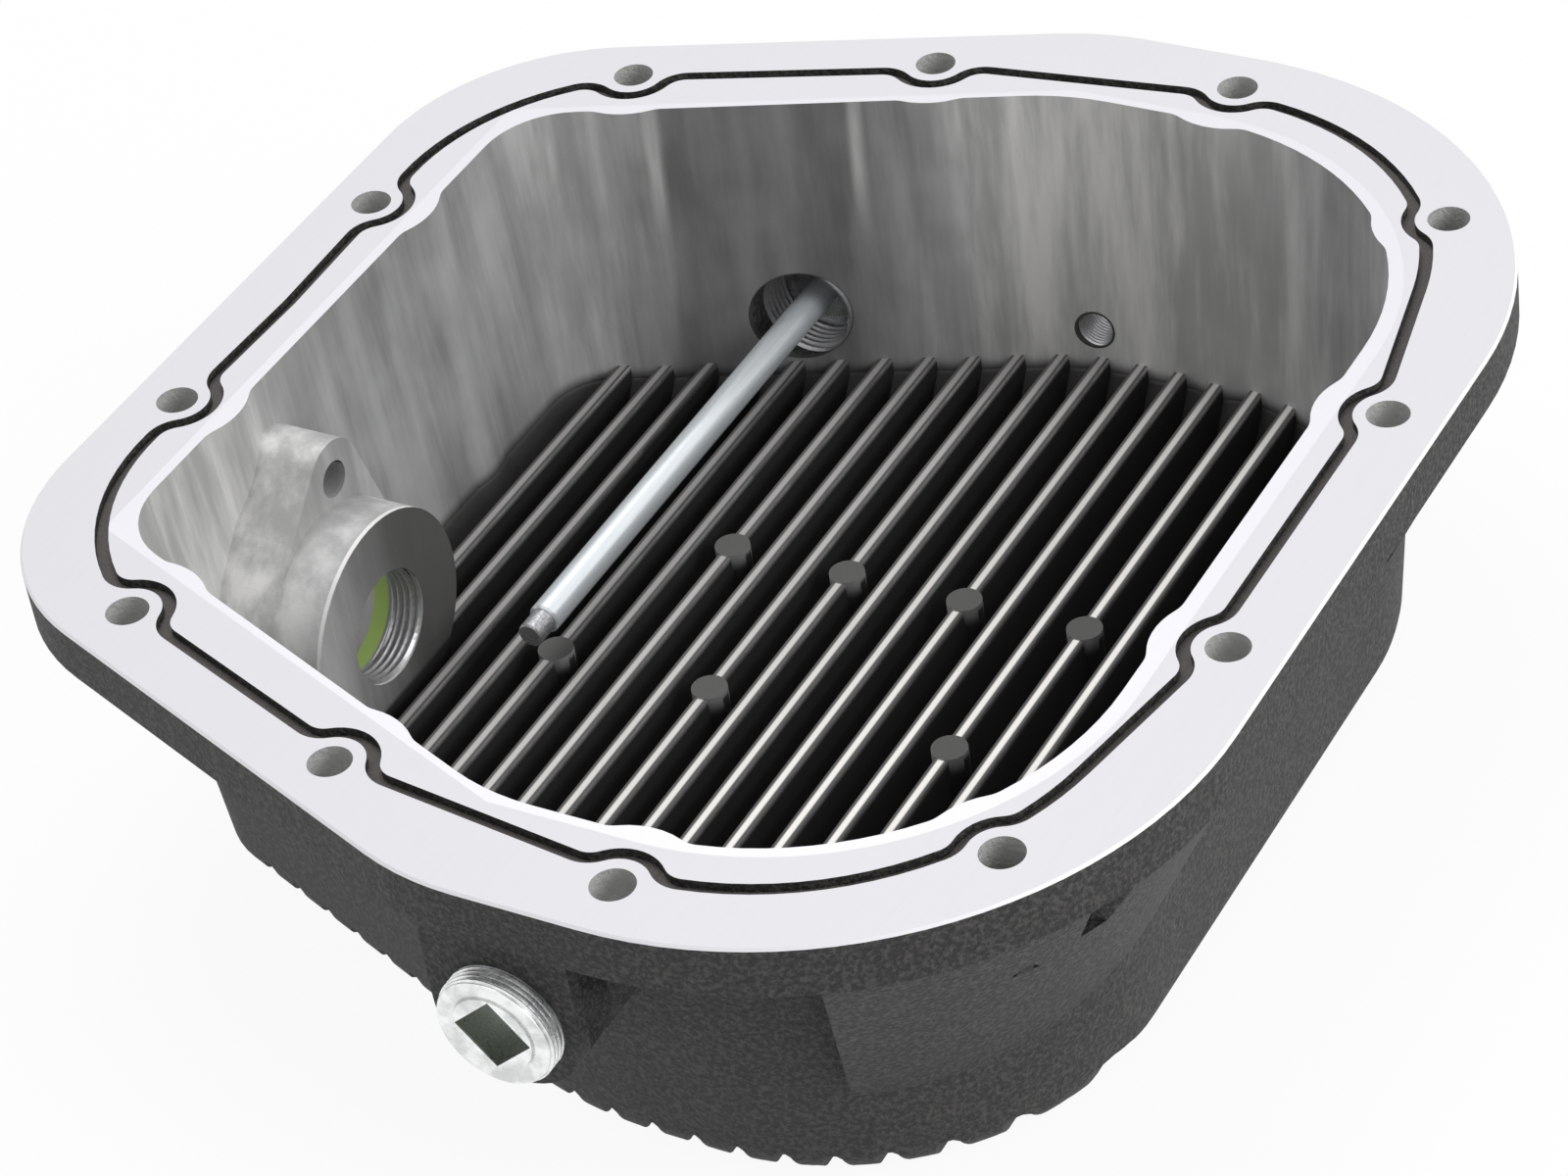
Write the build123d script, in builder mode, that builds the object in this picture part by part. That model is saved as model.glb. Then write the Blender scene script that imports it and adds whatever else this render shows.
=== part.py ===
from build123d import *
import os
from math import sqrt, tan, radians

os.makedirs("parts", exist_ok=True)

# Overall heights, measured up from the tips of the outer fins
cover_height = 99.0
flange_thick = 13.0
flange_under = cover_height - flange_thick
outer_fin_height = 7.5
floor_thick = 4.5
floor_top = outer_fin_height + floor_thick
inner_fin_height = 12.0
inner_fin_tips = floor_top + inner_fin_height

# Flange plate: rectangular with round corners at its right end, slanted sides towards its left end
flange_half_x = 147.75
flange_half_y = 168.0
flange_straight = 142.15
flange_mid_corner_x = flange_half_x - flange_straight
flange_left_corner_y = flange_half_y - 56.9
flange_left_round = 58.0
flange_mid_round = 70.0
flange_right_round = 100.0
flange_edge_break = 0.6

# Body below the flange, measured in from the flange's edges at the level of the fin tips
body_left_x = -flange_half_x + 30.5
body_right_x = flange_half_x - 29.0
body_half_y = flange_half_y - 33.5
body_mid_corner_x = body_right_x - 106.15
body_left_corner_y = body_half_y - 49.5
body_draft = 5.0
body_left_round = 20.0
body_mid_round = 110.0
body_right_round = 72.0
body_bottom_round = 8.0

# Pan opening in the flange face, its drafted walls and their sloped foot above the floor
pan_left_x = -flange_half_x + 27.4
pan_right_x = flange_half_x - 28.0
pan_half_y = flange_half_y - 29.3
pan_mid_corner_x = pan_right_x - 110.85
pan_left_corner_y = pan_half_y - 49.8
pan_left_round = 22.0
pan_mid_round = 60.0
pan_right_round = 75.0
pan_draft = 3.95
pan_blend = 7.0
foot_width = 6.0
foot_height = 8.0

# Twelve bolt holes, six pairs mirrored across the middle line
bolt_points = [(-flange_half_x + 12.7, 43.0),
               (-flange_half_x + 47.3, flange_half_y - 54.2),
               (-flange_half_x + 119.2, flange_half_y - 26.3),
               (flange_half_x - 99.4, flange_half_y - 13.9),
               (flange_half_x - 29.2, flange_half_y - 50.4),
               (flange_half_x - 13.1, 43.0)]
bolts = [(x, s * y) for x, y in bolt_points for s in (1, -1)]
corner_bolts = bolts[8:10]
bolt_hole_radius = 5.0
corner_hole_depth = 30.0
boss_radii = [17.2, 18.0, 18.0, 18.2, 18.0, 17.2]
boss_draft = 3.0
head_room_radius = 11.0

# Seal groove in the flange face
groove_width = 3.2
groove_depth = 2.3
groove_bolt_radius = 9.5
groove_blend = 7.0
groove_left_x = -flange_half_x + 16.6
groove_left_y = flange_half_y - 67.6
groove_left_round = 60.0
groove_mid_x = -flange_half_x + 129.5
groove_mid_y = flange_half_y - 25.7
groove_right_x = flange_half_x - 38.2
groove_half_y = flange_half_y - 9.9
groove_right_round = 75.0
groove_end_x = flange_half_x - 17.5
groove_end_half = 52.0

# Cooling fins, the same pitch and places inside and outside
fin_pitch = 10.67
fin_first_x = body_left_x + 14.9
fin_count = 21
fin_tip_width = 3.1
fin_root_width = 4.6
outer_tip_width = 1.8
outer_tip_break = 1.1
slot_root_width = 2.0
slot_root_break = 1.0
pad_radius = 4.4
pad_rise = 0.3
pad_points = [(6, 33.0), (9, 33.0), (12, 33.0), (15, 33.0), (4, -17.0), (8, -17.0), (14, -17.0)]

# Pipe threads of the drain and the side port, and the smaller one of the fill port
plug_thread_radius = 14.2
fill_thread_radius = 12.4
thread_depth = 1.0
thread_clearance = 0.05
port_bore_radius = plug_thread_radius + thread_clearance
fill_bore_radius = fill_thread_radius + thread_clearance
port_reach = 60.0
from_mouth = (Align.CENTER, Align.CENTER, Align.MIN)
plug_showing = 5.5
plug_engaged = 14.0
socket_across = 13.0
socket_depth = 10.0

# Drain side: a tongue that hangs from the flange
tongue_radius = 18.0
tongue_root = 10.0
drain_x = 23.75
drain_z = flange_under - tongue_radius - 3.5
drain_face_y = -flange_half_y + 1.5

# Dipstick, which runs just above the fins
rod_radius = 4.0
rod_above_fins = 9.5
rod_end_y = -22.0
magnet_radius = 3.2
magnet_length = 6.5

# Fill side
fill_x = -57.75
fill_z = inner_fin_tips + rod_above_fins + rod_radius
fill_face_y = body_half_y + 1.5

# Side port in the left wall
side_y = -42.0
side_z = inner_fin_tips + 18.6
side_slab_x = body_left_x + 15.5
side_face_x = side_slab_x + 14.0
side_boss_radius = 29.0
side_recess_radius = 22.0
ear_y = side_y + 8.6
ear_z = side_z + 34.4
ear_radius = 10.0
ear_hole_radius = 4.6
ear_hole_depth = 10.0

# Sensor port in the far wall
sensor_x = 13.25
sensor_z = inner_fin_tips + 8.0
sensor_radius = 4.8
sensor_boss_radius = 12.0
sensor_face_y = body_half_y + 13.5

# Round corners filled out towards the flange's edge, with a notch between two bolts
fill_centre_x = flange_half_x - flange_right_round
fill_centre_y = flange_half_y - flange_right_round
fill_from = -2.0
fill_to = 61.5
fill_root = 70.0
fill_reach = flange_right_round - 1.4
fill_drop = 58.0
notch_from = 18.0
notch_to = 27.0
notch_inner = 86.0
notch_height = 13.0


def body_side_y(x):
    """Half the body's width at x, along its slanted side, straight side and round corner."""
    corner_centre_x = body_right_x - body_right_round
    if x > corner_centre_x:
        across = min(x, body_right_x) - corner_centre_x
        return body_half_y - body_right_round + sqrt(body_right_round ** 2 - across ** 2)
    slope = (body_half_y - body_left_corner_y) / (body_mid_corner_x - body_left_x)
    return min(body_half_y, body_half_y - (body_mid_corner_x - x) * slope)


def outline(left_x, left_corner_y, mid_corner_x, right_x, half_y, rounds):
    """Outline that flange, body and pan share: slanted sides towards the left, round corners."""
    with BuildSketch() as shape:
        Polygon((left_x, -left_corner_y), (mid_corner_x, -half_y), (right_x, -half_y),
                (right_x, half_y), (mid_corner_x, half_y), (left_x, left_corner_y), align=None)
        for corner_x, radius in zip((left_x, mid_corner_x, right_x), rounds):
            corner = [v for v in vertices() if abs(v.X - corner_x) < 1e-3]
            fillet(sorted(corner, key=lambda v: -abs(v.Y))[:2], radius)
    return shape.sketch


# Pan space, drawn at the face, at the top of the sloped foot and at the floor
with BuildPart() as pan:
    for level, foot in ((cover_height, 0.0), (floor_top + foot_height, 0.0), (floor_top, foot_width)):
        depth = cover_height - level
        with BuildSketch(Plane.XY.offset(level)):
            add(outline(pan_left_x, pan_left_corner_y, pan_mid_corner_x, pan_right_x, pan_half_y,
                        (pan_left_round, pan_mid_round, pan_right_round)))
            if depth:
                offset(amount=-depth * tan(radians(pan_draft)) - foot)
            for (x, y), radius in zip(bolt_points, boss_radii):
                with Locations((x, y), (x, -y)):
                    Circle(radius + depth * tan(radians(boss_draft)) + foot, mode=Mode.SUBTRACT)
            offset(amount=-pan_blend)
            offset(amount=pan_blend, kind=Kind.ARC)
    loft(ruled=True)

# What the seal groove runs around: the flange's outline further in, kept clear of the bolts
with BuildSketch() as inside_groove:
    Polygon((groove_left_x, 0), (groove_left_x - 2.9, -groove_left_y), (groove_mid_x, -groove_mid_y),
            (groove_right_x, -groove_half_y), (groove_end_x, -groove_end_half), (groove_end_x, groove_end_half),
            (groove_right_x, groove_half_y), (groove_mid_x, groove_mid_y),
            (groove_left_x - 2.9, groove_left_y), align=None)
    fillet([v for v in vertices() if v.X < groove_left_x - 1], groove_left_round)
    fillet([v for v in vertices() if abs(v.X - groove_right_x) < 1], groove_right_round)
    with Locations(*bolts):
        Circle(groove_bolt_radius, mode=Mode.SUBTRACT)
    offset(amount=-groove_blend)
    offset(amount=groove_blend, kind=Kind.ARC)

# What stands inside the pan: fins, round pads, the side port boss and its ear
with BuildPart() as pan_space:
    add(pan.part)
    for k in range(fin_count):
        x = fin_first_x + k * fin_pitch
        with BuildSketch(Plane.XZ.offset(-flange_half_y)):
            Polygon((x - fin_root_width / 2, floor_top - 1), (x + fin_root_width / 2, floor_top - 1),
                    (x + fin_tip_width / 2, inner_fin_tips), (x - fin_tip_width / 2, inner_fin_tips), align=None)
        extrude(amount=2 * flange_half_y, mode=Mode.SUBTRACT)
    for k, y in pad_points:
        with BuildSketch(Plane.XY.offset(floor_top - 1)):
            with Locations((fin_first_x + k * fin_pitch, y)):
                Circle(pad_radius)
        extrude(amount=inner_fin_height + pad_rise + 1, mode=Mode.SUBTRACT)
    with BuildSketch(Plane.YZ.offset(pan_left_x - 2)):
        with Locations((side_y, side_z)):
            Circle(side_boss_radius)
        with Locations((ear_y, ear_z)):
            Circle(ear_radius)
        make_hull()
    extrude(amount=side_slab_x - pan_left_x + 2, mode=Mode.SUBTRACT)
    with BuildSketch(Plane.YZ.offset(side_slab_x - 1)):
        with Locations((side_y, side_z)):
            Circle(side_boss_radius)
    extrude(amount=side_face_x - side_slab_x + 1, mode=Mode.SUBTRACT)

# The casting: drafted body with its slots, flange, bosses on its outside, then all that is cut away
with BuildPart() as cover_casting:
    with BuildSketch():
        add(outline(body_left_x, body_left_corner_y, body_mid_corner_x, body_right_x, body_half_y,
                    (body_left_round, body_mid_round, body_right_round)))
    extrude(amount=flange_under, taper=-body_draft)
    fillet(edges().group_by(Axis.Z)[0], body_bottom_round)

    # Slots between the outer fins, straight through, with round crests between them
    with BuildSketch() as slot:
        half = [(fin_pitch / 2, -outer_fin_height), (fin_pitch / 2, 0), ((fin_pitch - outer_tip_width) / 2, 0),
                ((fin_pitch - outer_tip_width) / 2 - outer_tip_break, outer_tip_break),
                (slot_root_width / 2 + slot_root_break, outer_fin_height - slot_root_break),
                (slot_root_width / 2, outer_fin_height)]
        Polygon(half + [(-x, z) for x, z in reversed(half)], align=None)
    with BuildSketch(Plane.XZ.offset(-flange_half_y)):
        with Locations(*[(fin_first_x + (k - 0.5) * fin_pitch, 0) for k in range(1, fin_count + 1)]):
            add(slot.sketch_local)
    extrude(amount=2 * flange_half_y, mode=Mode.SUBTRACT)

    with BuildSketch(Plane.XY.offset(flange_under)):
        add(outline(-flange_half_x, flange_left_corner_y, flange_mid_corner_x, flange_half_x, flange_half_y,
                    (flange_left_round, flange_mid_round, flange_right_round)))
    extrude(amount=flange_thick)
    chamfer(edges().group_by(Axis.Z)[-1], flange_edge_break)

    # Drain tongue on the near side and fill tongue on the far side, from a round end up to the flange
    for x, z, face_y, side in ((drain_x, drain_z, -drain_face_y, -1), (fill_x, fill_z, fill_face_y, 1)):
        with BuildSketch(Plane.XZ.offset(-side * face_y)):
            with Locations((x, z)):
                Circle(tongue_radius)
            with Locations((x, (z + flange_under) / 2 + 0.5)):
                Rectangle(2 * tongue_radius, flange_under - z + 1)
        extrude(amount=side * (face_y - body_side_y(x) + tongue_root))

    # Sensor boss on the far side
    with BuildSketch(Plane.XZ.offset(-sensor_face_y)):
        with Locations((sensor_x, sensor_z)):
            Circle(sensor_boss_radius)
    extrude(amount=sensor_face_y - body_half_y + 0.5, taper=-3)

    # Filled corners under the flange, each a part of a cone, and the notch in it
    for side in (1, -1):
        first = fill_from if side > 0 else -fill_to
        turned = Plane(origin=(fill_centre_x, side * fill_centre_y, 0),
                       x_dir=Vector(1, 0, 0).rotate(Axis.Z, first),
                       z_dir=Vector(0, -1, 0).rotate(Axis.Z, first))
        with BuildSketch(turned):
            Polygon((fill_root, flange_under - fill_drop), (fill_reach, flange_under),
                    (fill_reach, flange_under + 1), (fill_root, flange_under + 1), align=None)
        revolve(axis=Axis((fill_centre_x, side * fill_centre_y, 0), (0, 0, 1)), revolution_arc=fill_to - fill_from)
        corners = [Vector(reach, 0, 0).rotate(Axis.Z, side * angle) for reach, angle in
                   ((notch_inner, notch_to), (flange_right_round, notch_to), (flange_right_round, notch_from))]
        with BuildSketch(Plane.XY.offset(flange_under - notch_height)):
            Polygon([(fill_centre_x + v.X, side * fill_centre_y + v.Y) for v in corners], align=None)
        extrude(amount=notch_height, mode=Mode.SUBTRACT)

    # Room for the bolt heads under the flange, then the bolt holes, blind in the two filled corners
    with BuildSketch():
        with Locations(*[bolt for bolt in bolts if bolt not in corner_bolts]):
            Circle(head_room_radius)
    extrude(amount=flange_under, mode=Mode.SUBTRACT)
    with BuildSketch(Plane.XY.offset(cover_height)):
        with Locations(*[bolt for bolt in bolts if bolt not in corner_bolts]):
            Circle(bolt_hole_radius)
    extrude(amount=-flange_thick - 1, mode=Mode.SUBTRACT)
    with BuildSketch(Plane.XY.offset(cover_height)):
        with Locations(*corner_bolts):
            Circle(bolt_hole_radius)
    extrude(amount=-corner_hole_depth, mode=Mode.SUBTRACT)

    # The pan itself
    add(pan_space.part, mode=Mode.SUBTRACT)

    # Seal groove
    with BuildSketch(Plane.XY.offset(cover_height)) as groove:
        add(inside_groove.sketch)
        offset(amount=groove_width / 2, kind=Kind.ARC)
        with BuildSketch(mode=Mode.PRIVATE) as core:
            add(inside_groove.sketch)
            offset(amount=-groove_width / 2)
        add(core.sketch, mode=Mode.SUBTRACT)
    extrude(amount=-groove_depth, mode=Mode.SUBTRACT)

    # Drain, fill, side, ear and sensor holes, each from its mouth inwards
    with Locations(Plane(origin=(drain_x, drain_face_y - 1, drain_z), z_dir=(0, 1, 0))):
        Cylinder(port_bore_radius, port_reach, align=from_mouth, mode=Mode.SUBTRACT)
    with Locations(Plane(origin=(fill_x, fill_face_y + 1, fill_z), z_dir=(0, -1, 0))):
        Cylinder(fill_bore_radius, port_reach, align=from_mouth, mode=Mode.SUBTRACT)
    with Locations(Plane(origin=(side_face_x + 1, side_y, side_z), z_dir=(-1, 0, 0))):
        Cylinder(port_bore_radius, port_reach, align=from_mouth, mode=Mode.SUBTRACT)
    with Locations(Plane(origin=(side_slab_x, side_y, side_z), z_dir=(-1, 0, 0))):
        Cylinder(side_recess_radius, port_reach, align=from_mouth, mode=Mode.SUBTRACT)
    with Locations(Plane(origin=(side_slab_x + 1, ear_y, ear_z), z_dir=(-1, 0, 0))):
        Cylinder(ear_hole_radius, ear_hole_depth + 1, align=from_mouth, mode=Mode.SUBTRACT)
    with Locations(Plane(origin=(sensor_x, sensor_face_y + 1, sensor_z), z_dir=(0, -1, 0))):
        Cylinder(sensor_radius, port_reach, align=from_mouth, mode=Mode.SUBTRACT)
cover_casting.part.label = "cover_casting"
export_step(cover_casting.part, "parts/cover_casting.step")

# Drain plug, a pipe plug with a square socket, its face towards the near side
drain_open = Plane(origin=(drain_x, drain_face_y - plug_showing, drain_z), z_dir=(0, -1, 0), x_dir=(1, 0, 0))
with BuildPart() as drain_plug:
    with BuildSketch(drain_open):
        Circle(plug_thread_radius - thread_depth)
    extrude(amount=-plug_showing)
    chamfer(faces().sort_by(Axis.Y)[0].edges(), 1.2)
    with BuildSketch(drain_open.offset(-plug_showing)):
        Circle(plug_thread_radius)
    extrude(amount=-plug_engaged)
    with BuildSketch(drain_open):
        Rectangle(socket_across, socket_across, rotation=42)
    extrude(amount=-socket_depth, mode=Mode.SUBTRACT)
drain_plug.part.label = "drain_plug"
export_step(drain_plug.part, "parts/drain_plug.step")

# Fill plug, the same plug with its face towards the far side
fill_open = Plane(origin=(fill_x, fill_face_y + plug_showing, fill_z), z_dir=(0, 1, 0), x_dir=(-1, 0, 0))
with BuildPart() as fill_plug:
    with BuildSketch(fill_open):
        Circle(fill_thread_radius - thread_depth)
    extrude(amount=-plug_showing)
    chamfer(faces().sort_by(Axis.Y)[-1].edges(), 1.2)
    with BuildSketch(fill_open.offset(-plug_showing)):
        Circle(fill_thread_radius)
    extrude(amount=-plug_engaged)
    with BuildSketch(fill_open):
        Rectangle(socket_across, socket_across)
    extrude(amount=-socket_depth, mode=Mode.SUBTRACT)
fill_plug.part.label = "fill_plug"
export_step(fill_plug.part, "parts/fill_plug.step")

# Dipstick rod, fixed in the inner end of the fill plug
rod_start_y = fill_face_y - plug_engaged
with BuildPart() as dipstick_rod:
    with BuildSketch(Plane(origin=(fill_x, rod_start_y, fill_z), z_dir=(0, -1, 0))):
        Circle(rod_radius)
    extrude(amount=rod_start_y - rod_end_y)
    chamfer(faces().sort_by(Axis.Y)[0].edges(), 0.5)
dipstick_rod.part.label = "dipstick_rod"
export_step(dipstick_rod.part, "parts/dipstick_rod.step")

# Magnet at the end of the rod
with BuildPart() as dipstick_magnet:
    with BuildSketch(Plane(origin=(fill_x, rod_end_y, fill_z), z_dir=(0, -1, 0))):
        Circle(magnet_radius)
    extrude(amount=magnet_length)
    chamfer(faces().sort_by(Axis.Y)[0].edges(), 0.4)
dipstick_magnet.part.label = "dipstick_magnet"
export_step(dipstick_magnet.part, "parts/dipstick_magnet.step")
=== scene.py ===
from math import cos, radians, sin, tau

import bpy
import bmesh
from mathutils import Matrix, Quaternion, Vector


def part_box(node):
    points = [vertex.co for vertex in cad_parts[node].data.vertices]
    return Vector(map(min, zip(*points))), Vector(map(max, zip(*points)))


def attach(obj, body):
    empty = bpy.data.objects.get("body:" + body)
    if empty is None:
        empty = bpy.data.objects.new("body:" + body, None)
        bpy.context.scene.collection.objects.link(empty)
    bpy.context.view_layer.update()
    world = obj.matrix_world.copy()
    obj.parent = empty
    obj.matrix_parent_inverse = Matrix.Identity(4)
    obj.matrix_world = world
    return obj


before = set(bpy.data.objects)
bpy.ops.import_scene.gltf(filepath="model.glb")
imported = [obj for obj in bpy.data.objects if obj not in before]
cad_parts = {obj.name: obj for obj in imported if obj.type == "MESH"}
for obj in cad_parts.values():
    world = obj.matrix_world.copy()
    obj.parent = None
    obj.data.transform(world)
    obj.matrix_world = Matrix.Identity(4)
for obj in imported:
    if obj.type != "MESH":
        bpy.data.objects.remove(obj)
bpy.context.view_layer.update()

MM = 0.001

# The cover itself: one aluminium casting, poured in sand, shot blasted inside, with its flange face
# milled flat afterwards. Outside it keeps its dark, sandy skin; the fins inside get painted highlights on
# their tops.
casting_low, casting_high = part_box("cover_casting")
face_height = casting_high.z
inner_fin_tips = face_height - 75.0 * MM
pan_floor = face_height - 87.0 * MM


def put(tree, kind, inputs=None, **settings):
    """A node with its settings and inputs; an input that is a socket gets linked."""
    made = tree.nodes.new(kind)
    for name, value in settings.items():
        setattr(made, name, value)
    for name, value in (inputs or {}).items():
        if isinstance(value, bpy.types.NodeSocket):
            tree.links.new(value, made.inputs[name])
        else:
            made.inputs[name].default_value = value
    return made


def calc(tree, operation, first, second=0.0, third=0.0, clamp=False):
    """The result of one Math node."""
    made = put(tree, "ShaderNodeMath", {0: first, 1: second, 2: third}, operation=operation, use_clamp=clamp)
    return made.outputs[0]


def product(tree, first, *others):
    """Values or masks multiplied together."""
    for other in others:
        first = calc(tree, "MULTIPLY", first, other)
    return first


def over(tree, value, limit):
    """1 where a value is over a limit, 0 elsewhere."""
    return calc(tree, "GREATER_THAN", value, limit)


def within(tree, value, limit):
    """1 where a value is less than a limit, 0 elsewhere."""
    return calc(tree, "LESS_THAN", value, limit)


def ramp_between(tree, value, start, end):
    """0 at start, 1 at end and smooth in between."""
    made = put(tree, "ShaderNodeMapRange", {"Value": value, "From Min": start, "From Max": end},
               interpolation_type="SMOOTHSTEP")
    return made.outputs["Result"]


def blend_colour(tree, factor, first, second):
    """Two colours mixed by a factor."""
    made = put(tree, "ShaderNodeMix", {0: factor, 6: first, 7: second}, data_type="RGBA")
    return made.outputs[2]


def stretched(tree, place, scale):
    """A position multiplied by a scale along each axis."""
    made = put(tree, "ShaderNodeVectorMath", {0: place, 1: scale}, operation="MULTIPLY")
    return made.outputs[0]


def distance(tree, place, point):
    """How far a position lies from a point."""
    made = put(tree, "ShaderNodeVectorMath", {0: place, 1: point}, operation="DISTANCE")
    return made.outputs["Value"]


def noise(tree, place, scale, detail=3.0, roughness=0.55):
    """The value of a noise texture."""
    made = put(tree, "ShaderNodeTexNoise", {"Vector": place, "Scale": scale, "Detail": detail,
                                            "Roughness": roughness})
    return made.outputs["Fac"]


def effect(name, inputs, outputs):
    """An empty shader node group with named inputs and outputs, and its two end nodes."""
    group = bpy.data.node_groups.new(name, "ShaderNodeTree")
    for socket, kind, value in inputs:
        made = group.interface.new_socket(socket, in_out="INPUT", socket_type=kind)
        made.default_value = value
    for socket, kind in outputs:
        group.interface.new_socket(socket, in_out="OUTPUT", socket_type=kind)
    return group, group.nodes.new("NodeGroupInput"), group.nodes.new("NodeGroupOutput")


def use(tree, group, inputs):
    """A node group placed in a material with its own values."""
    made = put(tree, "ShaderNodeGroup", node_tree=group)
    for name, value in inputs.items():
        if isinstance(value, bpy.types.NodeSocket):
            tree.links.new(value, made.inputs[name])
        else:
            made.inputs[name].default_value = value
    return made


def new_material(name):
    """A material with one Principled shader, and the position on the piece."""
    made = bpy.data.materials.new(name)
    made.use_nodes = True
    tree = made.node_tree
    tree.nodes.clear()
    out = tree.nodes.new("ShaderNodeOutputMaterial")
    shader = tree.nodes.new("ShaderNodeBsdfPrincipled")
    tree.links.new(shader.outputs[0], out.inputs["Surface"])
    place = tree.nodes.new("ShaderNodeTexCoord").outputs["Object"]
    return made, tree, shader, place


def dress(name, material):
    """One material on a piece that comes from the part's own solids."""
    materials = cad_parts[name].data.materials
    materials.clear()
    materials.append(material)


# Grain: small bumps with a few larger ones, as sand or shot leaves them
grain, grain_in, grain_out = effect(
    "grain", [("Place", "NodeSocketVector", (0, 0, 0)), ("Size", "NodeSocketFloat", 0.001)],
    [("Height", "NodeSocketFloat"), ("Specks", "NodeSocketFloat")])
fineness = calc(grain, "DIVIDE", 1.0, grain_in.outputs["Size"])
fine = noise(grain, grain_in.outputs["Place"], fineness, 4.0, 0.65)
coarse = noise(grain, grain_in.outputs["Place"], calc(grain, "MULTIPLY", fineness, 0.4), 2.0)
grain.links.new(calc(grain, "MULTIPLY_ADD", coarse, 0.5, fine), grain_out.inputs["Height"])
grain.links.new(ramp_between(grain, fine, 0.40, 0.68), grain_out.inputs["Specks"])

# Scratches: thin lines along one direction, set by how far each axis is stretched
scratches, scratch_in, scratch_out = effect(
    "scratches", [("Place", "NodeSocketVector", (0, 0, 0)), ("Stretch", "NodeSocketVector", (1, 1, 1)),
                  ("Fineness", "NodeSocketFloat", 600.0)],
    [("Lines", "NodeSocketFloat")])
along = stretched(scratches, scratch_in.outputs["Place"], scratch_in.outputs["Stretch"])
lines = noise(scratches, along, scratch_in.outputs["Fineness"], 2.0, 0.5)
scratches.links.new(lines, scratch_out.inputs["Lines"])

cast_metal, tree, shader, place = new_material("cast_metal")
x, y, z = put(tree, "ShaderNodeSeparateXYZ", {0: place}).outputs
y_off = calc(tree, "ABSOLUTE", y)
normal = tree.nodes.new("ShaderNodeNewGeometry").outputs["True Normal"]
facing = put(tree, "ShaderNodeSeparateXYZ", {0: normal}).outputs
facing_right, facing_up = facing[0], facing[2]

# The inside of the pan, found from how far outside the middle of its walls a point lies: the round right
# end, the left wall and the slanted walls, which all lean outwards as they rise
wall_lean = 0.078
round_x, round_y, round_radius = 45.5 * MM, 63.0 * MM, 70.3 * MM
left_wall_x = -115.4 * MM
slant_angle, slant_offset = radians(20.9), 120.4 * MM
past_x = calc(tree, "MAXIMUM", calc(tree, "SUBTRACT", x, round_x), 0.0)
past_y = calc(tree, "MAXIMUM", calc(tree, "SUBTRACT", y_off, round_y), 0.0)
past = calc(tree, "SQRT", calc(tree, "ADD", product(tree, past_x, past_x), product(tree, past_y, past_y)))
round_wall = calc(tree, "SUBTRACT", past, round_radius)
left_wall = calc(tree, "SUBTRACT", left_wall_x, x)
slant = calc(tree, "MULTIPLY_ADD", y_off, cos(slant_angle), calc(tree, "MULTIPLY", x, -sin(slant_angle)))
slant_wall = calc(tree, "SUBTRACT", slant, slant_offset)
beyond = calc(tree, "MAXIMUM", calc(tree, "MAXIMUM", round_wall, left_wall), slant_wall)
beyond = calc(tree, "MULTIPLY_ADD", z, -wall_lean, beyond)
# The walls' outer skin faces away from the middle of the part, and stays as it was cast
outward = put(tree, "ShaderNodeVectorMath", {0: stretched(tree, place, (1, 1, 0))}, operation="NORMALIZE")
faces_out = put(tree, "ShaderNodeVectorMath", {0: outward.outputs[0], 1: normal}, operation="DOT_PRODUCT")
outer_skin = product(tree, over(tree, faces_out.outputs["Value"], 0.7), over(tree, beyond, -7 * MM))
in_pan = product(tree, within(tree, beyond, 0.0), over(tree, z, pan_floor - 2.2 * MM),
                 over(tree, facing_up, -0.3), calc(tree, "SUBTRACT", 1.0, outer_skin))

# The flange: its milled face, the small bevel round it, and the seal groove
on_face = product(tree, ramp_between(tree, z, face_height - 0.25 * MM, face_height - 0.05 * MM),
                  over(tree, facing_up, 0.9))
on_edge = product(tree, ramp_between(tree, z, face_height - 0.8 * MM, face_height - 0.6 * MM),
                  over(tree, facing_up, 0.3))
in_groove = product(tree, over(tree, z, face_height - 2.6 * MM), over(tree, facing_up, 0.9))
# Its bolt holes, mirrored across the middle line
mirrored = put(tree, "ShaderNodeCombineXYZ", {0: x, 1: y_off}).outputs[0]
bolt_places = ((-135.05, 43.0), (-100.45, 113.8), (-28.55, 141.7), (48.35, 154.1), (118.55, 117.6),
               (134.65, 43.0))
off_bolt = 1.0
for bolt_x, bolt_y in bolt_places:
    off_bolt = calc(tree, "MINIMUM", distance(tree, mirrored, (bolt_x * MM, bolt_y * MM, 0)), off_bolt)
in_hole = product(tree, within(tree, off_bolt, 5.3 * MM), over(tree, z, face_height - 12.8 * MM))

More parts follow.
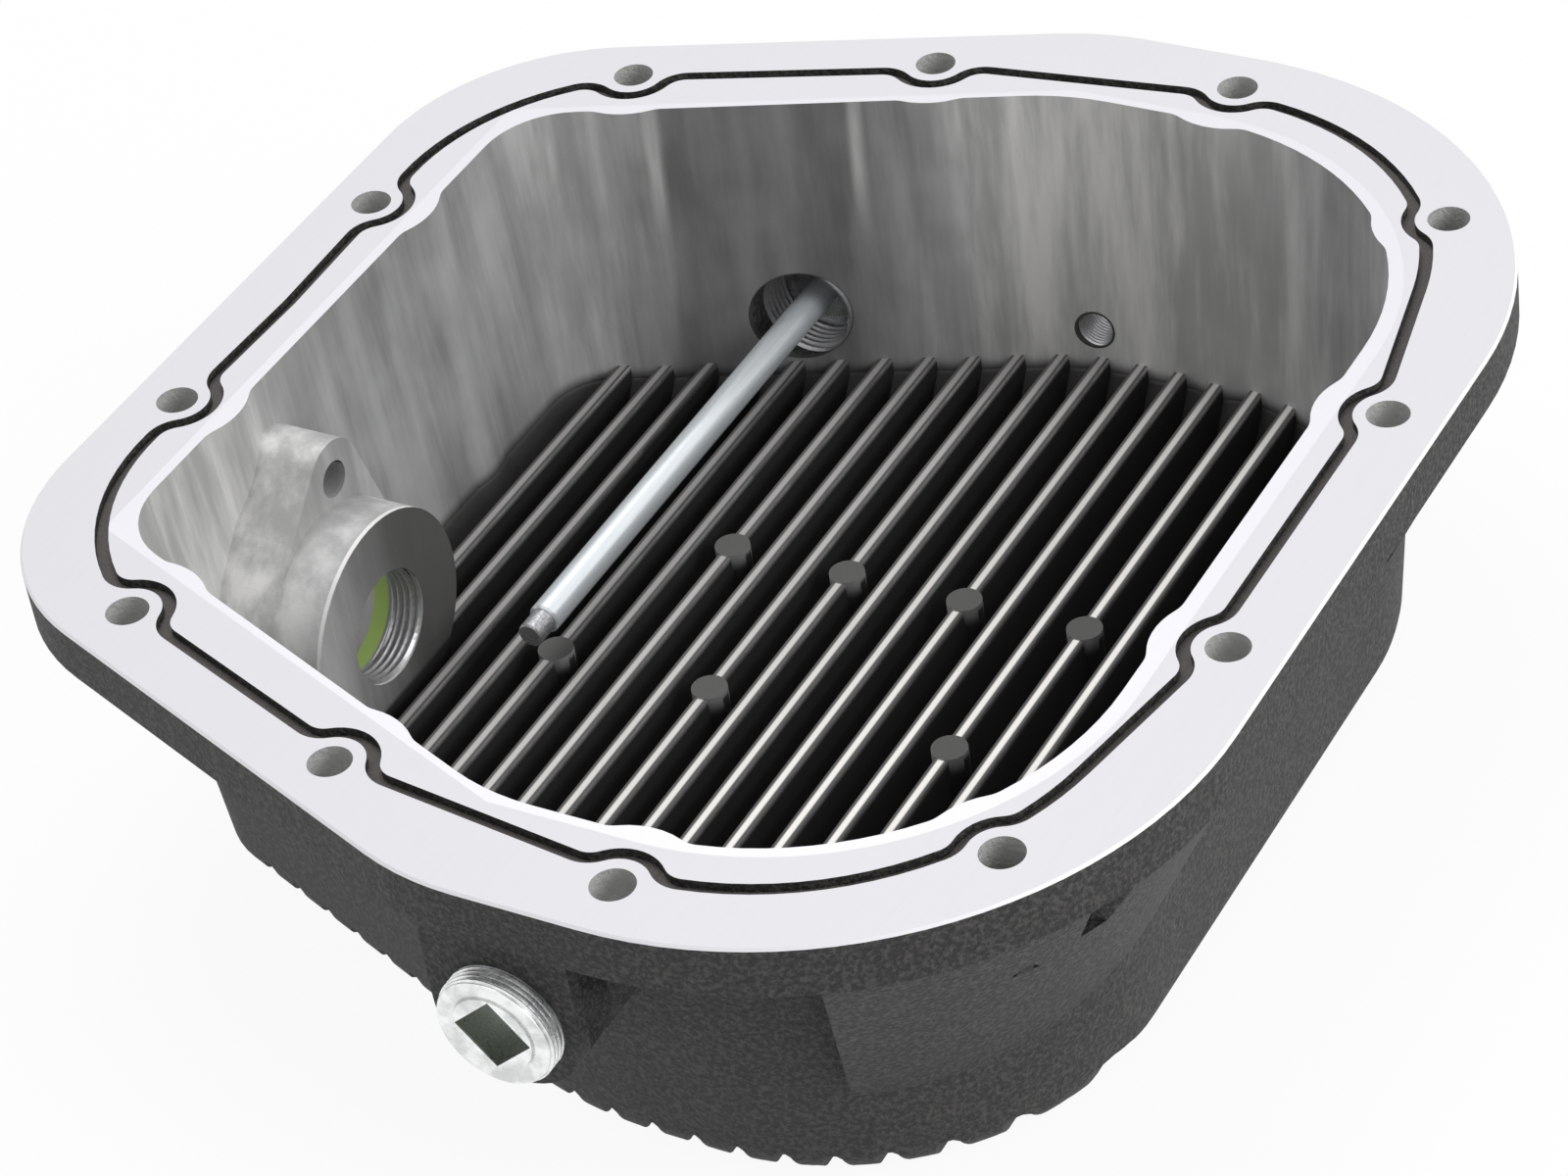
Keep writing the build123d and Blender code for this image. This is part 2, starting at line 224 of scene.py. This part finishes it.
# The inner fins: their tops, round pads and flanks, the gaps between them, and how far a point lies from
# the middle line of the nearest fin
fin_pitch = 10.67 * MM
first_fin_x = -102.35 * MM
on_fin_top = product(tree, ramp_between(tree, z, inner_fin_tips - 0.3 * MM, inner_fin_tips - 0.1 * MM),
                     over(tree, facing_up, 0.95), within(tree, z, inner_fin_tips + 1 * MM))
on_pad = product(tree, on_fin_top, over(tree, z, inner_fin_tips + 0.15 * MM))
on_flank = product(tree, over(tree, calc(tree, "ABSOLUTE", facing_right), 0.97),
                   calc(tree, "COMPARE", x, 2 * MM, 107 * MM))
in_gap = calc(tree, "MAXIMUM", ramp_between(tree, z, inner_fin_tips - 0.1 * MM, inner_fin_tips - 5 * MM),
              product(tree, on_flank, ramp_between(tree, z, inner_fin_tips, inner_fin_tips - 1.8 * MM)))
fin_count = calc(tree, "MULTIPLY_ADD", x, 1 / fin_pitch, 0.5 - first_fin_x / fin_pitch)
off_fin = calc(tree, "ABSOLUTE", calc(tree, "SUBTRACT", calc(tree, "FRACT", fin_count), 0.5))
off_fin = calc(tree, "MULTIPLY", off_fin, fin_pitch)

# The ports: the fill and sensor ports' dark bores in the far wall, and the side port with the round boss
# round it in the left wall. The photograph shows the side port's deep end lit green from behind.
fill_x, fill_height, fill_radius = -57.75 * MM, face_height - 61.5 * MM, 12.45 * MM
sensor_x, sensor_height, sensor_radius = 13.25 * MM, face_height - 67.0 * MM, 4.8 * MM
side_y, side_height, port_radius = -42.0 * MM, face_height - 56.4 * MM, 14.25 * MM
boss_front_x = -87.75 * MM
flat_y = stretched(tree, place, (1, 0, 1))
in_bore = calc(tree, "MAXIMUM", within(tree, distance(tree, flat_y, (fill_x, 0, fill_height)), 12.7 * MM),
               within(tree, distance(tree, flat_y, (sensor_x, 0, sensor_height)), 5.4 * MM))
in_bore = product(tree, in_bore, over(tree, y, 100 * MM))
on_boss_front = product(tree, over(tree, facing_right, 0.95),
                        calc(tree, "COMPARE", x, boss_front_x, 0.2 * MM))
boss_shade = product(tree, on_boss_front, ramp_between(tree, y, -70 * MM, -28 * MM))
on_boss_rim = product(tree, calc(tree, "COMPARE", x, boss_front_x - 0.65 * MM, 0.55 * MM),
                      calc(tree, "COMPARE", y, side_y, 34 * MM), over(tree, z, inner_fin_tips + 1 * MM))
flat_x = stretched(tree, place, (0, 1, 1))
on_port_end = product(tree, within(tree, distance(tree, flat_x, (0, side_y, side_height)), 15 * MM),
                      within(tree, x, boss_front_x - 9.85 * MM))

# Painted highlights where light falls on the pan's walls: the near left end, the far wall's right part
# and the far slanted wall. The far wall between them is darker.
on_far_wall = over(tree, y, 60 * MM)
highlight_left = product(tree, ramp_between(tree, x, -78 * MM, -112 * MM),
                      ramp_between(tree, y, 5 * MM, -55 * MM))
highlight_right = product(tree, ramp_between(tree, x, -38 * MM, 2 * MM),
                       ramp_between(tree, x, 100 * MM, 50 * MM))
highlight_slant = calc(tree, "MULTIPLY", ramp_between(tree, x, -86 * MM, -108 * MM), 0.6)
highlight_far = product(tree, calc(tree, "MAXIMUM", highlight_right, highlight_slant),
                     ramp_between(tree, y, 60 * MM, 100 * MM))
shaded_far = product(tree, ramp_between(tree, x, -100 * MM, -80 * MM),
                     ramp_between(tree, x, -25 * MM, -45 * MM), on_far_wall)
# The wall bulges in a little below each bolt, and the bulges' flanks catch the light near the flange
off_bulge = 1.0
bulge_half_width = 12 * MM
for bolt_x, bolt_y in bolt_places[1:4]:
    off_middle = calc(tree, "ABSOLUTE", calc(tree, "SUBTRACT", x, bolt_x * MM))
    off_side = calc(tree, "ABSOLUTE", calc(tree, "SUBTRACT", off_middle, bulge_half_width))
    off_bulge = calc(tree, "MINIMUM", off_side, off_bulge)
on_bulge = product(tree, ramp_between(tree, off_bulge, 2.6 * MM, 0.3 * MM),
                   ramp_between(tree, z, face_height - 42 * MM, face_height - 8 * MM), on_far_wall)
pan_highlight = calc(tree, "MAXIMUM", calc(tree, "MULTIPLY", highlight_left, 0.60),
              calc(tree, "MULTIPLY", highlight_far, 0.74))
pan_highlight = calc(tree, "MAXIMUM", pan_highlight, calc(tree, "MULTIPLY", on_bulge, 0.55))

# The blasted walls: cloudy grey with streaks that run down them, with streaked painted highlights
blasted_light = (0.52, 0.53, 0.525, 1)
blasted_dark = (0.24, 0.245, 0.24, 1)
painted_highlight_colour = (0.86, 0.85, 0.84, 1)
shade_and_oxide_dark = (0.030, 0.029, 0.028, 1)
sand_light = (0.072, 0.0705, 0.067, 1)
streaks = noise(tree, stretched(tree, place, (1, 1, 0.10)), 90.0, 4.0, 0.6)
clouds = noise(tree, place, 22.0, 3.0, 0.6)
pan_tone = calc(tree, "MULTIPLY_ADD", streaks, 0.9, calc(tree, "MULTIPLY_ADD", clouds, 0.7, -0.35))
pan_colour = blend_colour(tree, ramp_between(tree, pan_tone, 0.15, 0.75), blasted_dark, blasted_light)
highlight_streaks = calc(tree, "MULTIPLY_ADD", ramp_between(tree, streaks, 0.40, 0.70), 0.9, 0.55)
# Painted shade on the far wall between the highlights
pan_colour = blend_colour(tree, calc(tree, "MULTIPLY", shaded_far, 0.40), pan_colour, shade_and_oxide_dark)
# Painted highlights on the near left end, the far walls and the bulges' flanks, streaked
pan_colour = blend_colour(tree, calc(tree, "MULTIPLY", pan_highlight, highlight_streaks, clamp=True), pan_colour, painted_highlight_colour)
pan_colour = blend_colour(tree, calc(tree, "MULTIPLY", boss_shade, 0.9), pan_colour, sand_light)
# A painted highlight along the boss's front rim
pan_colour = blend_colour(tree, calc(tree, "MULTIPLY", on_boss_rim, 0.75), pan_colour, painted_highlight_colour)
# Painted shade, with some dark oxide, deep between the fins and low on their flanks
pan_colour = blend_colour(tree, in_gap, pan_colour, shade_and_oxide_dark)

# The fins' tops: a painted highlight line with painted shade on its shoulders, lit brighter towards the near
# right, and grey pads
fin_highlight_near = (0.90, 0.88, 0.85, 1)
fin_highlight_far = (0.34, 0.335, 0.33, 1)
fin_shoulder_shade = (0.085, 0.082, 0.079, 1)
pad_grey = (0.085, 0.087, 0.080, 1)
nearness = ramp_between(tree, calc(tree, "MULTIPLY_ADD", y, -0.5, x), -80 * MM, 70 * MM)
fin_highlight = blend_colour(tree, nearness, fin_highlight_far, fin_highlight_near)
fin_colour = blend_colour(tree, ramp_between(tree, off_fin, 0.5 * MM, 1.05 * MM), fin_highlight, fin_shoulder_shade)
fin_colour = blend_colour(tree, on_pad, fin_colour, pad_grey)
pan_colour = blend_colour(tree, on_fin_top, pan_colour, fin_colour)

# The bores painted dark as painted shade inside them, and the side port's green end
bore_shade = (0.07, 0.07, 0.068, 1)
port_green = (0.48, 0.66, 0.20, 1)
pan_colour = blend_colour(tree, in_bore, pan_colour, bore_shade)
pan_colour = blend_colour(tree, on_port_end, pan_colour, port_green)

# The whole casting: sandy skin, then the pan, the groove, the bolt holes, and the milled face with its bevel
sand_dark = (0.009, 0.0088, 0.0086, 1)
groove_floor_shade = (0.11, 0.10, 0.095, 1)
hole_wall = (0.52, 0.52, 0.51, 1)
milled_edge_highlight = (0.86, 0.86, 0.89, 1)
milled_face = (0.66, 0.655, 0.69, 1)
mill_mark = (0.6, 0.6, 0.62, 1)
sand = use(tree, grain, {"Place": place, "Size": 1.2 * MM})
shot = use(tree, grain, {"Place": place, "Size": 0.45 * MM})
milled = use(tree, scratches, {"Place": place, "Stretch": (1.0, 0.06, 1.0), "Fineness": 1500.0})
sand_colour = blend_colour(tree, sand.outputs["Specks"], sand_dark, sand_light)
mill_marks = calc(tree, "MULTIPLY", ramp_between(tree, milled.outputs["Lines"], 0.5, 0.75), 0.12)
face_colour = blend_colour(tree, mill_marks, milled_face, mill_mark)
colour = blend_colour(tree, in_pan, sand_colour, pan_colour)
# Painted shade on the seal groove's floor
colour = blend_colour(tree, in_groove, colour, groove_floor_shade)
colour = blend_colour(tree, in_hole, colour, hole_wall)
# The bevel painted brighter than the face, a painted highlight
colour = blend_colour(tree, on_edge, colour, milled_edge_highlight)
colour = blend_colour(tree, on_face, colour, face_colour)
tree.links.new(colour, shader.inputs["Base Color"])

bright = calc(tree, "MAXIMUM", on_face, on_edge, clamp=True)
metallic = calc(tree, "MULTIPLY_ADD", bright, 0.10, calc(tree, "MULTIPLY", in_pan, 0.35))
tree.links.new(metallic, shader.inputs["Metallic"])
tree.links.new(calc(tree, "MULTIPLY_ADD", bright, -0.14, 0.66), shader.inputs["Roughness"])
sand_depth = 0.95 * MM
shot_depth = 0.06 * MM
height = put(tree, "ShaderNodeMix", {0: in_pan, 2: calc(tree, "MULTIPLY", sand.outputs["Height"], sand_depth),
                                     3: calc(tree, "MULTIPLY", shot.outputs["Height"], shot_depth)},
             data_type="FLOAT").outputs[0]
height = calc(tree, "MULTIPLY", height, calc(tree, "SUBTRACT", 1.0, bright))
bump = put(tree, "ShaderNodeBump", {"Height": height, "Distance": 1.0, "Strength": 1.0})
tree.links.new(bump.outputs[0], shader.inputs["Normal"])
dress("cover_casting", cast_metal)


def into_scene(name, mesh):
    """A finished mesh as a piece that rides on the part."""
    bmesh.ops.recalc_face_normals(mesh, faces=mesh.faces)
    data = bpy.data.meshes.new(name)
    mesh.to_mesh(data)
    mesh.free()
    made = bpy.data.objects.new(name, data)
    bpy.context.scene.collection.objects.link(made)
    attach(made, "root")
    return made


# The pipe threads: cut in the casting's four ports, a low ridge that winds round each port's axis. The
# solids' bores are plain cylinders of the thread's outer size. The side port's turns stop before its end.
def thread(name, start, direction, wall_radius, depth, pitch, length, steps=48):
    """A ridge wound round an axis from start; a negative depth stands inwards from the wall."""
    mesh = bmesh.new()
    turn = Vector((0, 0, 1)).rotation_difference(Vector(direction)).to_matrix()
    count = int(length / pitch * steps)
    foot = 0.42 * pitch
    crest = 0.08 * pitch
    rings = []
    for i in range(count + 1):
        angle = tau * i / steps
        along = length * i / count
        fade = min(1.0, i / (steps / 3), (count - i) / (steps / 3))
        top = wall_radius + depth * fade
        root = wall_radius - 0.02 * depth if depth > 0 else wall_radius + 0.05 * MM
        profile = [(root, -foot), (top, -crest), (top, crest), (root, foot)]
        ring = []
        for radius, shift in profile:
            local = Vector((radius * cos(angle), radius * sin(angle), along + shift))
            ring.append(mesh.verts.new(Vector(start) + turn @ local))
        rings.append(ring)
    for before, after in zip(rings, rings[1:]):
        for j in range(4):
            k = (j + 1) % 4
            mesh.faces.new((before[j], before[k], after[k], after[j]))
    mesh.faces.new(rings[0][::-1])
    mesh.faces.new(rings[-1])
    return into_scene(name, mesh)


cut_thread, tree, shader, place = new_material("cut_thread")
cut_marks = use(tree, scratches, {"Place": place, "Stretch": (1.0, 1.0, 1.0), "Fineness": 900.0})
cut_dark = (0.42, 0.42, 0.43, 1)
cut_light = (0.72, 0.72, 0.74, 1)
colour = blend_colour(tree, cut_marks.outputs["Lines"], cut_dark, cut_light)
tree.links.new(colour, shader.inputs["Base Color"])
shader.inputs["Metallic"].default_value = 0.85
shader.inputs["Roughness"].default_value = 0.34

drain_x, drain_height = 23.75 * MM, face_height - 34.5 * MM
side_depth = 9.5 * MM
side_end = side_depth - 0.8 * MM
large = (1.0 * MM, 1.81 * MM)
small = (0.5 * MM, 1.0 * MM)
for name, start, direction, radius, (depth, pitch), length in (
        ("side_port_thread", (boss_front_x - side_end, side_y, side_height), (1, 0, 0), port_radius, large,
         side_end - 0.8 * MM),
        ("fill_port_thread", (fill_x, 111.0 * MM, fill_height), (0, 1, 0), fill_radius, large, 11.5 * MM),
        ("drain_port_thread", (drain_x, -136.0 * MM, drain_height), (0, -1, 0), port_radius, large,
         15.0 * MM),
        ("sensor_port_thread", (sensor_x, 134.0 * MM, sensor_height), (0, 1, 0), sensor_radius, small,
         12.0 * MM)):
    ridge = thread(name, start, direction, radius, -depth, pitch, length)
    ridge.data.materials.append(cut_thread)


# The part's solid is open in a few places where the real casting is closed: its floor and two fins near
# the middle, the ends of the two blind corner holes, and the drain port's wall beside the room for the
# nearest bolt head. These four thin pieces of the same metal close them to the eye only.
def turned(name, start, direction, profile, steps=64):
    """A closed ring turned from a profile of (radius, distance along the axis from start)."""
    mesh = bmesh.new()
    turn = Vector((0, 0, 1)).rotation_difference(Vector(direction)).to_matrix()
    rings = []
    for i in range(steps):
        angle = tau * i / steps
        rings.append([mesh.verts.new(Vector(start) + turn @ Vector((r * cos(angle), r * sin(angle), along)))
                      for r, along in profile])
    for i, ring in enumerate(rings):
        following = rings[(i + 1) % steps]
        for j in range(len(profile)):
            k = (j + 1) % len(profile)
            mesh.faces.new((ring[j], ring[k], following[k], following[j])).smooth = True
    return into_scene(name, mesh)


skin_gap = 0.02 * MM
skin_half_length = 7.49 * MM
floor_profile = [(-5.33, 0.1), (-4.32, 1.1), (-2.985, 6.5), (-1.985, 7.5), (0.015, 7.5), (1.015, 6.5),
                 (2.35, 1.1), (3.45, 0.0), (5.33, 0.0), (5.33, 24.0), (2.80, 24.0), (2.11, 12.0),
                 (-4.08, 12.0), (-4.77, 24.0), (-5.33, 24.0)]
skin = bmesh.new()
ends = []
for end_y in (-skin_half_length, skin_half_length):
    ends.append([skin.verts.new((px * MM, end_y, pz * MM + (skin_gap if pz < 10 else -skin_gap)))
                 for px, pz in floor_profile])
for j in range(len(floor_profile)):
    k = (j + 1) % len(floor_profile)
    skin.faces.new((ends[0][j], ends[0][k], ends[1][k], ends[1][j]))
for ring in ends:
    skin.faces.new(ring)
skins = [into_scene("floor_skin", skin)]

window_y, window_length = -162 * MM, 16 * MM
inner, outer = port_radius + skin_gap, port_radius + 0.4 * MM
skins.append(turned("drain_port_skin", (drain_x, window_y, drain_height), (0, 1, 0),
                    [(inner, 0), (outer, 0), (outer, window_length), (inner, window_length)]))

corner_x, corner_y = bolt_places[4]
corner_low, slit_length = face_height - 29.98 * MM, 10 * MM
for name, side in (("far_corner_hole_skin", 1), ("near_corner_hole_skin", -1)):
    skins.append(turned(name, (corner_x * MM, side * corner_y * MM, corner_low), (0, 0, 1),
                        [(0.3 * MM, 0), (4.2 * MM, 0), (4.2 * MM, slit_length), (0.3 * MM, slit_length)]))
for piece in skins:
    piece.data.materials.append(cast_metal)

# The two plugs: zinc plated steel, turned, with a square socket for the wrench and a tapered pipe thread.
# Each is screwed in its port and stands out a few turns; its face is a wide rim, dished to the socket.
drain_face, fill_face = -166.5 * MM, 136.0 * MM
plug_showing = 5.5 * MM
zinc, tree, shader, place = new_material("zinc_plate")
plate_light = (0.93, 0.94, 0.94, 1)
plate_dark = (0.66, 0.67, 0.67, 1)
plug_hollow_shade = (0.44, 0.46, 0.43, 1)
patches = noise(tree, place, 160.0, 3.0, 0.6)
colour = blend_colour(tree, ramp_between(tree, patches, 0.35, 0.65), plate_dark, plate_light)
# Inside the sockets and on the fill plug's inner end the plating is painted darker, as painted shade in these
# hollows
flat_y = stretched(tree, place, (1, 0, 1))
off_axis = calc(tree, "MINIMUM", distance(tree, flat_y, (drain_x, 0, drain_height)),
                distance(tree, flat_y, (fill_x, 0, fill_height)))
along = put(tree, "ShaderNodeSeparateXYZ", {0: place}).outputs[1]
socket_near = drain_face - plug_showing + 0.4 * MM
socket_far = fill_face + plug_showing - 0.4 * MM
between_faces = calc(tree, "COMPARE", along, (socket_near + socket_far) / 2, (socket_far - socket_near) / 2)
inside = product(tree, within(tree, off_axis, 9.2 * MM), between_faces)
colour = blend_colour(tree, calc(tree, "MULTIPLY", inside, 0.9), colour, plug_hollow_shade)
tree.links.new(colour, shader.inputs["Base Color"])
shader.inputs["Metallic"].default_value = 1.0
worn = use(tree, scratches, {"Place": place, "Stretch": (1.0, 1.0, 1.0), "Fineness": 700.0})
tree.links.new(calc(tree, "MULTIPLY_ADD", worn.outputs["Lines"], 0.25, 0.16), shader.inputs["Roughness"])


def rim(radius):
    """Profile of a plug's rim, along from the plug's face towards the outside."""
    return [(9.5 * MM, -0.30 * MM), (9.5 * MM, 0.03 * MM), (radius - 2.2 * MM, 0.30 * MM),
            (radius - 1.1 * MM, 0.26 * MM), (radius - 0.4 * MM, -0.10 * MM), (radius, -0.50 * MM),
            (radius - 0.2 * MM, -0.75 * MM), (radius - 0.8 * MM, -0.75 * MM)]


dress("drain_plug", zinc)
dress("fill_plug", zinc)
plug_thread_depth, plug_thread_pitch, plug_thread_length = 1.0 * MM, 1.27 * MM, 5.9 * MM
plug_pieces = [
    thread("drain_plug_thread", (drain_x, drain_face + 1 * MM, drain_height), (0, -1, 0),
           13.2 * MM, plug_thread_depth, plug_thread_pitch, plug_thread_length),
    thread("fill_plug_thread", (fill_x, fill_face - 1 * MM, fill_height), (0, 1, 0),
           11.4 * MM, plug_thread_depth, plug_thread_pitch, plug_thread_length),
    turned("drain_plug_rim", (drain_x, drain_face - plug_showing, drain_height), (0, -1, 0), rim(13.7 * MM)),
    turned("fill_plug_rim", (fill_x, fill_face + plug_showing, fill_height), (0, 1, 0), rim(11.9 * MM)),
]
for piece in plug_pieces:
    piece.data.materials.append(zinc)

# The dipstick: a bright drawn steel rod pressed in the fill plug, with a small magnet at its free end
# that holds iron dust from the oil
rod_steel, tree, shader, place = new_material("rod_steel")
drawn = use(tree, scratches, {"Place": place, "Stretch": (1.0, 0.03, 1.0), "Fineness": 2500.0})
rod_dark = (0.70, 0.75, 0.79, 1)
rod_light = (0.90, 0.93, 0.96, 1)
colour = blend_colour(tree, drawn.outputs["Lines"], rod_dark, rod_light)
tree.links.new(colour, shader.inputs["Base Color"])
shader.inputs["Metallic"].default_value = 0.6
shader.inputs["Roughness"].default_value = 0.26
dress("dipstick_rod", rod_steel)

magnet_grey, tree, shader, place = new_material("magnet_grey")
dust = use(tree, grain, {"Place": place, "Size": 0.5 * MM})
dust_dark = (0.30, 0.30, 0.31, 1)
dust_light = (0.58, 0.59, 0.61, 1)
colour = blend_colour(tree, dust.outputs["Specks"], dust_dark, dust_light)
tree.links.new(colour, shader.inputs["Base Color"])
shader.inputs["Metallic"].default_value = 0.9
shader.inputs["Roughness"].default_value = 0.4
dress("dipstick_magnet", magnet_grey)


# The stage: a pale floor under the part, a white room, a soft light overhead and one from the right, and
# the camera, placed and turned as it was solved from the flange in the photograph
def seen_directly(tree):
    """1 for rays from the camera, by reflection or through glass, which see plain white."""
    rays = tree.nodes.new("ShaderNodeLightPath")
    seen = calc(tree, "MAXIMUM", rays.outputs["Is Camera Ray"], rays.outputs["Is Glossy Ray"])
    return calc(tree, "MAXIMUM", seen, rays.outputs["Is Transmission Ray"])


floor_mesh = bmesh.new()
bmesh.ops.create_grid(floor_mesh, x_segments=8, y_segments=8, size=3.0)
floor_data = bpy.data.meshes.new("floor")
floor_mesh.to_mesh(floor_data)
floor_mesh.free()
floor = bpy.data.objects.new("floor", floor_data)
bpy.context.scene.collection.objects.link(floor)
floor.location.z = casting_low.z - 0.05 * MM
pale, tree, shader, place = new_material("pale_floor")
shader.inputs["Base Color"].default_value = (0.86, 0.86, 0.86, 1)
shader.inputs["Roughness"].default_value = 0.8
glow = put(tree, "ShaderNodeEmission", {"Color": (1, 1, 1, 1), "Strength": 1.0})
glow_share = calc(tree, "MULTIPLY", seen_directly(tree), 0.93)
mixed = put(tree, "ShaderNodeMixShader", {0: glow_share, 1: shader.outputs[0], 2: glow.outputs[0]})
tree.links.new(mixed.outputs[0], tree.nodes["Material Output"].inputs["Surface"])
floor_data.materials.append(pale)

world = bpy.data.worlds.new("studio")
bpy.context.scene.world = world
world.use_nodes = True
tree = world.node_tree
tree.nodes.clear()
room_light = 0.45
strength = calc(tree, "MULTIPLY_ADD", seen_directly(tree), 1.0 - room_light, room_light)
sky = put(tree, "ShaderNodeBackground", {"Color": (1, 1, 1, 1), "Strength": strength})
tree.links.new(sky.outputs[0], put(tree, "ShaderNodeOutputWorld").inputs["Surface"])


def lamp(name, place, aim, size, power):
    """A square soft light that points at a place on the part."""
    light = bpy.data.lights.new(name, "AREA")
    light.shape = "SQUARE"
    light.size = size
    light.energy = power
    made = bpy.data.objects.new(name, light)
    bpy.context.scene.collection.objects.link(made)
    made.location = place
    made.rotation_euler = (Vector(aim) - Vector(place)).to_track_quat("-Z", "Y").to_euler()


lamp("overhead", (-0.35, 0.35, 1.5), (0, 0, 0.05), 0.9, 12)
lamp("right_side", (1.35, 0.1, 0.8), (0, 0, 0.05), 0.8, 11.5)

camera_data = bpy.data.cameras.new("camera")
camera = bpy.data.objects.new("camera", camera_data)
bpy.context.scene.collection.objects.link(camera)
bpy.context.scene.camera = camera
camera_data.lens = 109.81
camera_data.sensor_width = 36.0
camera_data.clip_end = 50.0
azimuth = radians(34.0251)
elevation = radians(37.9695)
roll = radians(-9.0701)
back = Vector((sin(azimuth) * cos(elevation), -cos(azimuth) * cos(elevation), sin(elevation)))
camera.location = (492.93 * MM, -734.48 * MM, face_height + 637.85 * MM)
camera.rotation_mode = "QUATERNION"
camera.rotation_quaternion = (-back).to_track_quat("-Z", "Y") @ Quaternion((0, 0, 1), roll)

bpy.context.scene.view_settings.view_transform = "Standard"
